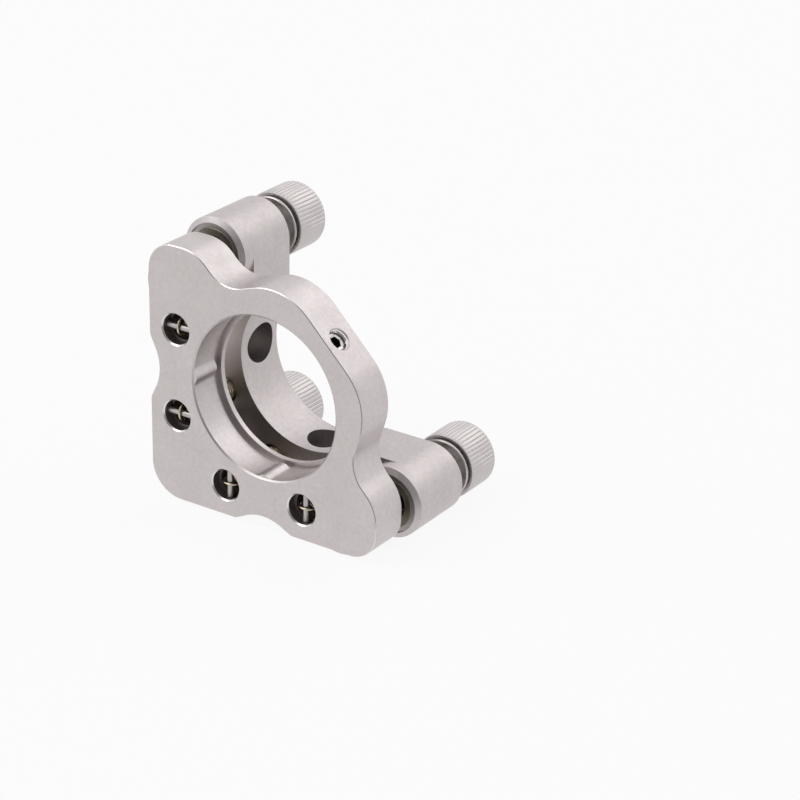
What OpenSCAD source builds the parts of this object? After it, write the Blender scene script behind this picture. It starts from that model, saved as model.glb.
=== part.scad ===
// Kinematic mirror mount: a front plate that holds a round optic, an L-shaped
// frame behind it, three fine-thread adjusters with ball tips, four extension
// springs that pull the plate onto the balls, and a set screw that holds the optic.
// Millimetres. The optical axis runs along Y through the origin, the front face
// of the plate is at y = 0 and faces -Y, and +Z is up.

/* [Layout] */
// Radius of the optic, which rests on the two ribs
optic_r = 15; // [12:0.1:18]
// Optic's edge to the axes of the left and bottom adjusters
rim = 4.2; // [3.8:0.1:6]
// How much further out the far adjuster on each arm is
far_shift = 0.6; // [0:0.1:2]
// Gap between the plate and the bosses
plate_gap = 2.75; // [2.6:0.05:4]
// Middle of an arm to each spring axis, along the arm
spring_offset = 8.5; // [7.5:0.1:9.5]

/* [Front plate] */
// Thickness of the plate
plate_t = 8.2; // [7:0.1:10]
// Plate beyond the left and bottom adjuster axes
plate_edge = 6.2; // [5:0.1:8]
// Plate beyond the far adjuster axes
lobe_edge = 4.8; // [4:0.1:7]
// Width of the two end lobes
lobe_w = 10.7; // [9:0.1:12]
// Distance of the shoulder's corner left of the optical axis
shoulder_in = 8.75; // [7:0.05:11]
// Distance of the crown's corner right of the optical axis
crown_in = 4.8; // [3:0.1:6]
// Wall between the bore and the diagonal flat
flat_wall = 4; // [3:0.1:5]
// Half width of the shallow notch in the left and bottom edges
notch_half = 6.2; // [4:0.1:8]
// Depth of that notch
notch_depth = 3.05; // [1:0.05:3.4]
// Radius of the crown's corner
crown_r = 11.6; // [8:0.1:14]
// Radius inside the shoulder's corner
shoulder_r = 6.8; // [4:0.1:8]
// Radius of a lobe's inner corner
lobe_inner_r = 7.7; // [4:0.1:9]
// Radius of a lobe's outer corner
lobe_outer_r = 5.6; // [3:0.1:7]
// Radius at the notch's two ends
notch_end_r = 2; // [0.5:0.1:4]
// Radius at the notch's deepest point
notch_floor_r = 8.7; // [5:0.1:12]
// Radius of the plate's lower left corner
plate_corner_r = 6.5; // [4:0.1:8]

/* [Optic bore] */
// Distance the bore stands back from the optic
bore_relief = 0.6; // [0.3:0.05:1]
// Radius of a rib's tip and of its two blends
rib_r = 1.6; // [1:0.1:2.5]
// Length of the bore from the front face
bore_depth = 6.3; // [5:0.1:7]
// Width of the groove behind the bore
groove_w = 0.9; // [0.5:0.1:1.2]
// Depth of the groove beyond the bore
groove_in = 0.3; // [0.1:0.05:0.5]
// Distance the rear lip reaches inside the optic's edge
lip_in = 0.3; // [0.1:0.05:0.8]
// Chamfer at the mouth of the bore
bore_chamfer = 0.3; // [0.1:0.05:0.6]

/* [Optic screw] */
// Radius of the set screw's thread
optic_screw_r = 2; // [1.5:0.25:2.5]
// Length of the set screw
optic_screw_l = 2.7; // [2.5:0.1:3.2]
// Depth of the set screw's rear end below the diagonal flat
optic_screw_sunk = 1; // [0.5:0.1:1.5]
// Distance of its axis behind the front face
optic_screw_y = 3.75; // [3:0.05:4.2]
// Distance the soft tip stands clear of the optic
tip_standoff = 0.35; // [0.1:0.05:0.5]
// Wall of the set screw around the soft tip
tip_wall = 0.75; // [0.5:0.05:1]
// Length of the soft tip
tip_l = 1.35; // [1:0.05:1.5]
// Countersink around the set screw's hole
optic_screw_sink = 0.2; // [0.1:0.1:0.8]

/* [Frame] */
// Radius of the three bosses
boss_r = 6.85; // [6.3:0.05:7.4]
// Length of the bosses
boss_l = 14.25; // [12:0.05:17]
// Distance of the arms' front face behind the bosses' front ends
arm_back = 3.15; // [2:0.05:4]
// Width of an arm where the inner arc comes closest to its outer side
arm_waist = 10.7; // [9.6:0.05:12]
// Radius where the arc meets an arm
arc_end_r = 3; // [1:0.1:4]
// Width of the bevel around a boss's front end
boss_bevel = 1; // [0.3:0.05:1.2]
// Length of that bevel
boss_bevel_l = 0.65; // [0.2:0.05:1]
// Wall around the shallow recess in a boss's front end
boss_wall = 1.1; // [1.05:0.05:1.6]
// Depth of that recess
boss_recess = 0.3; // [0.1:0.05:1]

/* [Post holes] */
// Radius of the two clearance holes for M4 screws
post_hole_r = 2.25; // [2.1:0.05:2.5]
// Ledge under a screw's head
head_ledge = 1.65; // [1.2:0.05:2]
// Distance of the post holes behind the middle of the arms
post_back = 0.25; // [0:0.05:0.5]
// Wall left under a screw's head
post_wall = 4.6; // [3.5:0.1:6]

/* [Springs] */
// Distance of the springs' rows outside the adjusters' rows
spring_out = 0.25; // [0:0.05:0.4]
// Outer radius of the coils
coil_r = 2.2; // [1.8:0.05:2.3]
// Radius of the wire
wire_r = 0.225; // [0.15:0.005:0.3]
// How much smaller the end loops' mean radius is than the coils' outer radius
loop_step = 0.35; // [0.25:0.05:0.6]
// Radius of the cross pins
pin_r = 0.65; // [0.5:0.05:0.7]
// Length of a pin's end that rests on its ledge
pin_ledge = 0.25; // [0.2:0.05:0.4]
// Rounding of the pins' ends
pin_round = 0.2; // [0.1:0.05:0.3]
// Depth of the counterbores the pins lie in
pin_cb_depth = 2.3; // [1.5:0.1:2.4]
// Chamfer around the spring holes
spring_chamfer = 0.25; // [0.05:0.05:0.5]

/* [Adjusters] */
// Radius of the adjuster screws' thread
screw_r = 3; // [2.5:0.1:3.6]
// How much thinner the screw's plain nose is
nose_step = 0.6; // [0.3:0.05:0.8]
// Length of the plain nose
nose_l = 4; // [0.8:0.1:5]
// Radius of the ball tip
ball_r = 2; // [1.6:0.05:2.2]
// Distance of the balls' centres behind the plate
ball_stand = 0.63; // [0.4:0.01:1]
// Distance from a ball's centre to the edge of the screw's nose
nose_back = 0.57; // [0.3:0.01:0.9]
// Wall of the threaded bushings
bushing_wall = 1.72; // [1.2:0.01:2]
// Countersink at both ends of a bushing's thread
bushing_sink = 0.4; // [0.1:0.05:0.6]
// Wall of the ball seats around the ball
seat_wall = 1.2; // [1:0.05:1.6]
// Floor of a ball seat under the cone and the V groove
seat_floor = 0.5; // [0.3:0.05:1]
// Room around the ball on the flat seat
flat_play = 0.7; // [0.5:0.05:0.8]

/* [Knobs] */
// Radius of the knob's barrel
knob_r = 6.35; // [5.5:0.05:7.5]
// Gap between a boss and its knob
knob_gap = 3.2; // [2.6:0.1:5]
// How much smaller the collar's radius is
collar_step = 0.65; // [0.3:0.05:1]
// Length of the collar
collar_l = 0.6; // [0.5:0.1:1.5]
// Depth of the groove behind the collar
neck_step = 0.7; // [0.3:0.05:1]
// Length of the groove
neck_l = 0.5; // [0.4:0.1:1.2]
// Length of the barrel
barrel_l = 8.2; // [5:0.1:9]
// Chamfer at the front of the barrel
barrel_chamfer = 0.35; // [0.1:0.05:0.6]
// Rounding at the rear of the barrel
barrel_round = 0.9; // [0.3:0.1:1.2]
// Wall around the shallow recess in the knob's rear face
dish_wall = 1.95; // [1.3:0.05:2.4]
// Depth of that recess
dish_depth = 1.4; // [0.5:0.1:2]
// Distance of the screw's rear end inside the knob's rear face
screw_sunk = 1; // [0:0.1:1.4]

/* [Hex sockets] */
// Width across flats of the sockets in the adjuster screws
hex_af = 2; // [1.5:0.1:2.5]
// Depth of those sockets
hex_depth = 3; // [2:0.1:4]
// Width across flats of the optic screw's socket
optic_hex_af = 2; // [1.5:0.1:2.5]
// Depth of that socket
optic_hex_depth = 1.4; // [1:0.1:1.6]

/* [Clearances] */
// Radial clearance of a turning thread
thread_gap = 0.03; // [0.01:0.01:0.1]
// Gap between a ball and its seat
seat_gap = 0.06; // [0.04:0.01:0.1]
// Gap between a ball or a soft tip and the screw that turns on it
socket_gap = 0.02; // [0.01:0.01:0.05]
// Gap between the coils and the holes they run through
coil_gap = 0.45; // [0.2:0.05:0.6]
// Gap between a spring's loop and its pin
loop_gap = 0.01; // [0.005:0.005:0.05]
// Radial clearance of the pins' counterbores beyond the pins' ends
pin_end_gap = 0.05; // [0.05:0.01:0.15]
// Radial clearance of a pressed part
press_gap = 0; // [0:0.01:0.02]

/* [Hidden] */
$fn = 96;
over = 1;

bore_r = optic_r + bore_relief;
groove_r = bore_r + groove_in;
lip_r = optic_r - lip_in;
flat_dist = bore_r + flat_wall;
adjuster_near = optic_r + rim;
adjuster_far = adjuster_near + far_shift;
plate_reach = adjuster_near + plate_edge;
lobe_reach = adjuster_far + lobe_edge;
shoulder_sum = lobe_reach - plate_reach + lobe_w;
flat_sum = flat_dist * sqrt(2);
tip_r = optic_screw_r - tip_wall;

spring_row = adjuster_near + spring_out;
spring_hole_r = coil_r + coil_gap;
loop_r = coil_r - loop_step;
pin_l = 2 * (spring_hole_r + pin_ledge);
pin_cb_r = pin_l / 2 + pin_end_gap;

boss_y = plate_t + plate_gap;
frame_y = boss_y + boss_l;
arm_y = boss_y + arm_back;
post_y = (arm_y + frame_y) / 2 + post_back;
post_mid = far_shift / 2;
arm_in = adjuster_near - boss_r;
outer_reach = adjuster_near + boss_r;
arc_r = outer_reach - arm_waist;
boss_recess_r = boss_r - boss_wall;
boss_floor_y = boss_y + boss_recess;
post_cb_r = post_hole_r + head_ledge;

ball_y = plate_t + ball_stand;
nose_y = ball_y + nose_back;
thread_y = nose_y + nose_l;
nose_r = screw_r - nose_step;
bushing_r = screw_r + thread_gap + bushing_wall;
seat_apex_y = ball_y - (ball_r + seat_gap) * sqrt(2);
seat_y = seat_apex_y - seat_floor;
seat_r = ball_r + seat_wall;
flat_seat_r = ball_r + flat_play;

knob_y = frame_y + knob_gap;
collar_r = knob_r - collar_step;
neck_r = collar_r - neck_step;
neck_y = knob_y + collar_l;
barrel_y = neck_y + neck_l;
knob_end_y = barrel_y + barrel_l;
dish_r = knob_r - dish_wall;
screw_end_y = knob_end_y - screw_sunk;

front_pin_y = pin_cb_depth - pin_r;
rear_pin_y = frame_y - front_pin_y;
front_loop_y = front_pin_y - pin_r - loop_gap + loop_r - wire_r;
rear_loop_y = frame_y - front_loop_y;
coil_start_y = front_loop_y + loop_r;
coil_end_y = rear_loop_y - loop_r;

top_axis = [-adjuster_near, adjuster_far];
side_axis = [adjuster_far, -adjuster_near];
corner_axis = [-adjuster_near, -adjuster_near];
left_upper = [-spring_row, spring_offset];
left_lower = [-spring_row, -spring_offset];
bottom_inner = [-spring_offset, -spring_row];
bottom_outer = [spring_offset, -spring_row];

plate_half = [
    [crown_in, flat_sum - crown_in, crown_r],
    [-shoulder_in, shoulder_sum + shoulder_in, shoulder_r],
    [shoulder_sum - lobe_reach, lobe_reach, lobe_inner_r],
    [-plate_reach, lobe_reach, lobe_outer_r],
    [-plate_reach, notch_half, notch_end_r],
    [-plate_reach + notch_depth, 0, notch_floor_r],
    [-plate_reach, -notch_half, notch_end_r]
];
plate_points = concat(
    plate_half,
    [[-plate_reach, -plate_reach, plate_corner_r]],
    [for (i = [len(plate_half) - 1:-1:0])
        [plate_half[i][1], plate_half[i][0], plate_half[i][2]]]
);

// Outline helpers: each vertex is [x, z, radius], counterclockwise
function xz(v) = [v[0], v[1]];
function unit(v) = v / norm(v);
function before(p, i) = xz(p[(i + len(p) - 1) % len(p)]);
function after(p, i) = xz(p[(i + 1) % len(p)]);
function to_before(p, i) = unit(before(p, i) - xz(p[i]));
function to_after(p, i) = unit(after(p, i) - xz(p[i]));
function half_angle(p, i) = acos(to_before(p, i) * to_after(p, i)) / 2;
function run_out(p, i) = p[i][2] / tan(half_angle(p, i));
function arc_centre(p, i) =
    xz(p[i]) + unit(to_before(p, i) + to_after(p, i)) * p[i][2] / sin(half_angle(p, i));
function turn(p, i) = cross(xz(p[i]) - before(p, i), after(p, i) - xz(p[i]));

// A closed outline of straight lines joined by tangent arcs
module rounded_outline(p) {
    difference() {
        union() {
            polygon([for (i = [0:len(p) - 1]) each [
                xz(p[i]) + to_before(p, i) * run_out(p, i),
                xz(p[i]) + to_after(p, i) * run_out(p, i)
            ]]);
            for (i = [0:len(p) - 1]) {
                if (turn(p, i) > 0) translate(arc_centre(p, i)) circle(p[i][2]);
            }
        }
        for (i = [0:len(p) - 1]) {
            if (turn(p, i) < 0) translate(arc_centre(p, i)) circle(p[i][2]);
        }
    }
}

// A flat shape drawn in x and z, from one y to another
module slab(y0, y1) {
    translate([0, y1, 0]) rotate([90, 0, 0]) linear_extrude(height = y1 - y0) children();
}

// A round length along Y, straight or tapered
module rod(y0, y1, r0, r1) {
    translate([0, y0, 0]) rotate([-90, 0, 0])
        cylinder(h = y1 - y0, r1 = r0, r2 = is_undef(r1) ? r0 : r1);
}

// Places a shape on an axis at [x, z]
module at(axis) {
    translate([axis[0], 0, axis[1]]) children();
}

// A hexagonal socket along Y
module hex_prism(y0, y1) {
    translate([0, y0, 0]) rotate([-90, 0, 0])
        cylinder(h = y1 - y0, r = hex_af / sqrt(3), $fn = 6);
}

// Turns the local Z axis to the optic screw's axis
module along_optic_screw() {
    translate([0, optic_screw_y, 0]) rotate([0, 45, 0]) children();
}

// A rib that runs along the bore at the angle a, blended into the wall
module rib(a) {
    axis_d = optic_r + rib_r;
    blend_d = bore_r - rib_r;
    spread = acos((axis_d * axis_d + blend_d * blend_d - 4 * rib_r * rib_r)
        / (2 * axis_d * blend_d));
    low = [blend_d * cos(spread), -blend_d * sin(spread)];
    high = [blend_d * cos(spread), blend_d * sin(spread)];
    tip = [axis_d, 0];
    rotate(a) {
        translate(tip) circle(rib_r);
        difference() {
            polygon([
                low, (low + tip) / 2, (high + tip) / 2, high,
                high * bore_r / blend_d, high * (bore_r + rib_r) / blend_d,
                low * (bore_r + rib_r) / blend_d, low * bore_r / blend_d
            ]);
            translate(low) circle(rib_r);
            translate(high) circle(rib_r);
        }
    }
}

// Front plate
module plate_face() {
    difference() {
        rounded_outline(plate_points);
        circle(bore_r);
    }
    rib(180);
    rib(270);
}

module front_spring_hole() {
    rod(-over, plate_t + over, spring_hole_r);
    rod(-over, pin_cb_depth, pin_cb_r);
    rod(-over, spring_chamfer, pin_cb_r + spring_chamfer + over, pin_cb_r);
}

module front_plate() {
    color("Silver") difference() {
        union() {
            slab(0, bore_depth) plate_face();
            slab(bore_depth, plate_t) difference() {
                rounded_outline(plate_points);
                circle(lip_r);
            }
        }
        rod(bore_depth, bore_depth + groove_w, groove_r);
        rod(-over, bore_chamfer, bore_r + bore_chamfer + over, bore_r);
        for (a = [left_upper, left_lower, bottom_inner, bottom_outer]) {
            at(a) front_spring_hole();
        }
        for (a = [top_axis, side_axis, corner_axis]) {
            at(a) rod(seat_y, plate_t + over, seat_r + press_gap);
        }
        along_optic_screw() {
            translate([0, 0, optic_r - over])
                cylinder(h = flat_dist - optic_r + 2 * over, r = optic_screw_r + thread_gap);
            translate([0, 0, flat_dist - optic_screw_sink])
                cylinder(
                    h = optic_screw_sink + over,
                    r1 = optic_screw_r + thread_gap,
                    r2 = optic_screw_r + thread_gap + optic_screw_sink + over
                );
        }
    }
}

// Frame
module arc_end() {
    c = [-arm_in - arc_end_r, sqrt(pow(arc_r + arc_end_r, 2) - pow(arm_in + arc_end_r, 2))];
    t = c * arc_r / (arc_r + arc_end_r);
    difference() {
        polygon([c, [-arm_in + over, c[1]], [-arm_in + over, t[1] - over], t]);
        translate(c) circle(arc_end_r);
    }
}

module frame_face() {
    difference() {
        union() {
            translate([-outer_reach, -adjuster_near])
                square([outer_reach - arm_in, adjuster_near + adjuster_far]);
            translate([-adjuster_near, -outer_reach])
                square([adjuster_near + adjuster_far, outer_reach - arm_in]);
            translate([-adjuster_near, -adjuster_near]) square(adjuster_near);
            for (a = [top_axis, side_axis, corner_axis]) {
                translate(a) circle(boss_r);
            }
        }
        circle(arc_r);
        arc_end();
        mirror([1, -1]) arc_end();
    }
}

module rear_spring_hole() {
    rod(boss_y, frame_y + over, spring_hole_r);
    rod(frame_y - pin_cb_depth, frame_y + over, pin_cb_r);
    rod(frame_y - spring_chamfer, frame_y + over, pin_cb_r, pin_cb_r + spring_chamfer + over);
    rod(arm_y - over, arm_y + spring_chamfer, spring_hole_r + spring_chamfer + over, spring_hole_r);
}

module post_hole(shift) {
    translate([-outer_reach - over, post_y, shift]) rotate([0, 90, 0])
        cylinder(h = outer_reach, r = post_hole_r);
    translate([-outer_reach + post_wall, post_y, shift]) rotate([0, 90, 0])
        cylinder(h = outer_reach - post_wall, r = post_cb_r);
}

module frame() {
    color("Silver") difference() {
        union() {
            slab(arm_y, frame_y) frame_face();
            for (a = [top_axis, side_axis, corner_axis]) {
                at(a) rod(boss_y, boss_y + boss_bevel_l, boss_r - boss_bevel, boss_r);
                at(a) rod(boss_y + boss_bevel_l, arm_y, boss_r);
            }
        }
        for (a = [top_axis, side_axis, corner_axis]) {
            at(a) rod(boss_y - over, boss_floor_y, boss_recess_r);
            at(a) rod(boss_floor_y - over, frame_y + over, bushing_r + press_gap);
        }
        for (a = [left_upper, left_lower, bottom_inner, bottom_outer]) {
            at(a) rear_spring_hole();
        }
        post_hole(post_mid);
        rotate([0, -90, 0]) post_hole(-post_mid);
    }
}

// Adjusters
module seat_blank() {
    rod(seat_y, plate_t, seat_r);
}

module top_seat() {
    run = seat_r + over;
    rise = plate_t + over - seat_apex_y;
    color("SlateGray") at(top_axis) difference() {
        seat_blank();
        translate([0, 0, -run]) linear_extrude(height = 2 * run)
            polygon([[0, seat_apex_y], [rise, plate_t + over], [-rise, plate_t + over]]);
    }
}

module side_seat() {
    color("SlateGray") at(side_axis) difference() {
        seat_blank();
        rod(ball_y - ball_r - seat_gap, plate_t + over, flat_seat_r);
    }
}

module corner_seat() {
    rise = plate_t + over - seat_apex_y;
    color("SlateGray") at(corner_axis) difference() {
        seat_blank();
        rod(seat_apex_y, plate_t + over, 0, rise);
    }
}

module ball() {
    color("LightSteelBlue") translate([0, ball_y, 0]) sphere(ball_r);
}

module top_ball() { at(top_axis) ball(); }
module side_ball() { at(side_axis) ball(); }
module corner_ball() { at(corner_axis) ball(); }

module adjuster_screw() {
    color("Gray") difference() {
        union() {
            rod(nose_y, thread_y, nose_r);
            rod(thread_y, screw_end_y, screw_r);
        }
        translate([0, ball_y, 0]) sphere(ball_r + socket_gap);
        hex_prism(screw_end_y - hex_depth, screw_end_y + over);
    }
}

module top_screw() { at(top_axis) adjuster_screw(); }
module side_screw() { at(side_axis) adjuster_screw(); }
module corner_screw() { at(corner_axis) adjuster_screw(); }

module bushing() {
    bore = screw_r + thread_gap;
    mouth = bore + bushing_sink;
    color("Goldenrod") difference() {
        rod(boss_floor_y, frame_y, bushing_r);
        rod(boss_floor_y - over, frame_y + over, bore);
        rod(boss_floor_y - over, boss_floor_y + bushing_sink, mouth + over, bore);
        rod(frame_y - bushing_sink, frame_y + over, bore, mouth + over);
    }
}

module top_bushing() { at(top_axis) bushing(); }
module side_bushing() { at(side_axis) bushing(); }
module corner_bushing() { at(corner_axis) bushing(); }

module knob() {
    shoulder = knob_end_y - barrel_round;
    color("Silver") difference() {
        union() {
            rod(knob_y, neck_y, collar_r);
            rod(neck_y, barrel_y, neck_r);
            rod(barrel_y, barrel_y + barrel_chamfer, knob_r - barrel_chamfer, knob_r);
            rod(barrel_y + barrel_chamfer, shoulder, knob_r);
            rod(shoulder, knob_end_y, knob_r - barrel_round);
            translate([0, shoulder, 0]) rotate([-90, 0, 0]) rotate_extrude()
                intersection() {
                    translate([knob_r - barrel_round, 0]) circle(barrel_round);
                    translate([knob_r - barrel_round, 0]) square(barrel_round);
                }
        }
        rod(knob_y - over, knob_end_y + over, screw_r + press_gap);
        rod(knob_end_y - dish_depth, knob_end_y + over, dish_r);
    }
}

module top_knob() { at(top_axis) knob(); }
module side_knob() { at(side_axis) knob(); }
module corner_knob() { at(corner_axis) knob(); }

// Springs and their cross pins. Local X is the pin's direction.
module spring() {
    color("Tan") {
        difference() {
            rod(coil_start_y, coil_end_y, coil_r);
            rod(coil_start_y - over, coil_end_y + over, coil_r - 2 * wire_r);
        }
        for (y = [coil_start_y + wire_r, coil_end_y - wire_r]) {
            translate([0, y, 0]) cylinder(h = coil_r - wire_r, r = wire_r);
        }
        for (y = [front_loop_y, rear_loop_y]) {
            translate([0, y, 0]) rotate([0, 90, 0]) rotate_extrude()
                translate([loop_r, 0]) circle(wire_r);
        }
    }
}

module cross_pin(y) {
    color("DimGray") translate([0, y, 0]) rotate([0, 90, 0]) rotate_extrude()
        intersection() {
            union() {
                translate([0, -pin_l / 2 + pin_round]) square([pin_r, pin_l - 2 * pin_round]);
                translate([0, -pin_l / 2]) square([pin_r - pin_round, pin_l]);
                translate([pin_r - pin_round, pin_l / 2 - pin_round]) circle(pin_round);
                translate([pin_r - pin_round, -pin_l / 2 + pin_round]) circle(pin_round);
            }
            translate([0, -pin_l]) square([2 * pin_r, 2 * pin_l]);
        }
}

module upright() { rotate([0, -90, 0]) children(); }

module spring_left_upper() { at(left_upper) spring(); }
module spring_left_lower() { at(left_lower) spring(); }
module spring_bottom_inner() { at(bottom_inner) upright() spring(); }
module spring_bottom_outer() { at(bottom_outer) upright() spring(); }
module front_pin_left_upper() { at(left_upper) cross_pin(front_pin_y); }
module front_pin_left_lower() { at(left_lower) cross_pin(front_pin_y); }
module front_pin_bottom_inner() { at(bottom_inner) upright() cross_pin(front_pin_y); }
module front_pin_bottom_outer() { at(bottom_outer) upright() cross_pin(front_pin_y); }
module rear_pin_left_upper() { at(left_upper) cross_pin(rear_pin_y); }
module rear_pin_left_lower() { at(left_lower) cross_pin(rear_pin_y); }
module rear_pin_bottom_inner() { at(bottom_inner) upright() cross_pin(rear_pin_y); }
module rear_pin_bottom_outer() { at(bottom_outer) upright() cross_pin(rear_pin_y); }

// Optic screw and its soft tip
module optic_screw() {
    front = flat_dist - optic_screw_sunk - optic_screw_l;
    rear = flat_dist - optic_screw_sunk;
    tip_end = optic_r + tip_standoff + tip_l;
    color("DimGray") along_optic_screw() difference() {
        translate([0, 0, front]) cylinder(h = rear - front, r = optic_screw_r);
        translate([0, 0, front - over])
            cylinder(h = tip_end + socket_gap - front + over, r = tip_r + socket_gap);
        translate([0, 0, rear - optic_hex_depth])
            cylinder(h = optic_hex_depth + over, r = optic_hex_af / sqrt(3), $fn = 6);
    }
}

module optic_screw_tip() {
    color("Ivory") along_optic_screw()
        translate([0, 0, optic_r + tip_standoff]) cylinder(h = tip_l, r = tip_r);
}

front_plate();
frame();
top_seat();
side_seat();
corner_seat();
top_ball();
side_ball();
corner_ball();
top_screw();
side_screw();
corner_screw();
top_bushing();
side_bushing();
corner_bushing();
top_knob();
side_knob();
corner_knob();
spring_left_upper();
spring_left_lower();
spring_bottom_inner();
spring_bottom_outer();
front_pin_left_upper();
front_pin_left_lower();
front_pin_bottom_inner();
front_pin_bottom_outer();
rear_pin_left_upper();
rear_pin_left_lower();
rear_pin_bottom_inner();
rear_pin_bottom_outer();
optic_screw();
optic_screw_tip();
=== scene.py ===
import logging
import math
from dataclasses import dataclass
from enum import Enum
from typing import Callable, Sequence

import bmesh
import bpy
from mathutils import Matrix, Vector


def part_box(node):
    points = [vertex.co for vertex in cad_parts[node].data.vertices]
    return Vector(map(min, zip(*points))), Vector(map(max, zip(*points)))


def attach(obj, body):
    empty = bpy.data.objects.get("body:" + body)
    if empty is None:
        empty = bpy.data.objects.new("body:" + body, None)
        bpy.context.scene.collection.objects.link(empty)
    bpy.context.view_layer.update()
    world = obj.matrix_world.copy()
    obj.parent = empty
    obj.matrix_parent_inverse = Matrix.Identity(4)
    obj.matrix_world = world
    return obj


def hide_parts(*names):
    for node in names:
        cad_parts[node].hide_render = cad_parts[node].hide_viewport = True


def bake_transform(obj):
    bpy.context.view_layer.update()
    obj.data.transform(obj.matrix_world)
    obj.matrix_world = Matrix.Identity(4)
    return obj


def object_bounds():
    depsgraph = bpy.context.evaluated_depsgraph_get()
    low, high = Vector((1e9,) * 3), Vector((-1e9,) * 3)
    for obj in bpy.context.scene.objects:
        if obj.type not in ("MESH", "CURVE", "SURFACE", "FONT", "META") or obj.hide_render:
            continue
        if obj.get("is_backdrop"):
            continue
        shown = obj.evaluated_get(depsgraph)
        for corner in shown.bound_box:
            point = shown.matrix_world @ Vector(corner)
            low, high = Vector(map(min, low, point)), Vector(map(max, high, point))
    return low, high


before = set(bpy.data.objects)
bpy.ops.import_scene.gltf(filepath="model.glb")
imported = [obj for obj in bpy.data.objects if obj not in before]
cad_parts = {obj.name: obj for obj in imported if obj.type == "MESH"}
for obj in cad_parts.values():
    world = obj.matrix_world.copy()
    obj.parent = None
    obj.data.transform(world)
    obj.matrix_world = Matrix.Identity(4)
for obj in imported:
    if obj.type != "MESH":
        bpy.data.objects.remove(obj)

MM = 0.001
log = logging.getLogger("mirror_mount")
Colour = tuple[float, float, float]


class Station(Enum):
    """The three corners of the plate that an adjuster pushes on."""

    TOP = "top"
    SIDE = "side"
    CORNER = "corner"

    def axis(self) -> Vector:
        """Returns the foot of this adjuster's axis, on y = 0, in mm."""
        low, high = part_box(f"{self.value}_ball")
        middle = (low + high) / 2 / MM
        return Vector((middle.x, 0, middle.z))


class SpringPlace(Enum):
    """The four spring holes, each with the way its cross pins lie."""

    LEFT_UPPER = ("left_upper", Vector((1, 0, 0)))
    LEFT_LOWER = ("left_lower", Vector((1, 0, 0)))
    BOTTOM_INNER = ("bottom_inner", Vector((0, 0, 1)))
    BOTTOM_OUTER = ("bottom_outer", Vector((0, 0, 1)))

    @property
    def label(self) -> str:
        """Returns the name that this place has in node names."""
        return self.value[0]

    @property
    def pin_way(self) -> Vector:
        """Returns the unit vector along this place's cross pins."""
        return self.value[1]

    def axis(self) -> Vector:
        """Returns the foot of this spring's axis, on y = 0, in mm."""
        low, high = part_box(f"spring_{self.label}")
        middle = (low + high) / 2 / MM
        return Vector((middle.x, 0, middle.z))


class NodeTree:
    """A tree of nodes, with short ways to add and join them."""

    def __init__(self, tree: bpy.types.NodeTree) -> None:
        """Keeps the tree.

        Args:
            tree: Blender's own node tree.
        """
        self.tree = tree

    def add(self, kind: str, *inputs: object, **settings: object) -> bpy.types.Node:
        """Adds a node.

        Args:
            kind: The node's Blender type.
            *inputs: A value or an output for each input, in order. None leaves one as it is.
            **settings: Properties to set on it.

        Returns:
            The new node.
        """
        node = self.tree.nodes.new(kind)
        for key, value in settings.items():
            setattr(node, key, value)
        for place, value in enumerate(inputs):
            if isinstance(value, bpy.types.NodeSocket):
                self.join(value, node.inputs[place])
            elif value is not None:
                node.inputs[place].default_value = value
        return node

    def join(self, source: bpy.types.NodeSocket, target: bpy.types.NodeSocket) -> None:
        """Links an output to an input."""
        self.tree.links.new(source, target)

    def math(self, operation: str, *values: object) -> bpy.types.NodeSocket:
        """Adds a Math node and gives its output.

        Args:
            operation: The sum to do, as Blender names it.
            *values: A number or an output for each input, in order.
        """
        return self.add("ShaderNodeMath", *values, operation=operation).outputs[0]

    def split(self, vector: bpy.types.NodeSocket) -> list[bpy.types.NodeSocket]:
        """Gives the x, y and z of a vector."""
        parts = self.add("ShaderNodeSeparateXYZ", vector).outputs
        return [parts[axis] for axis in "XYZ"]


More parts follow.
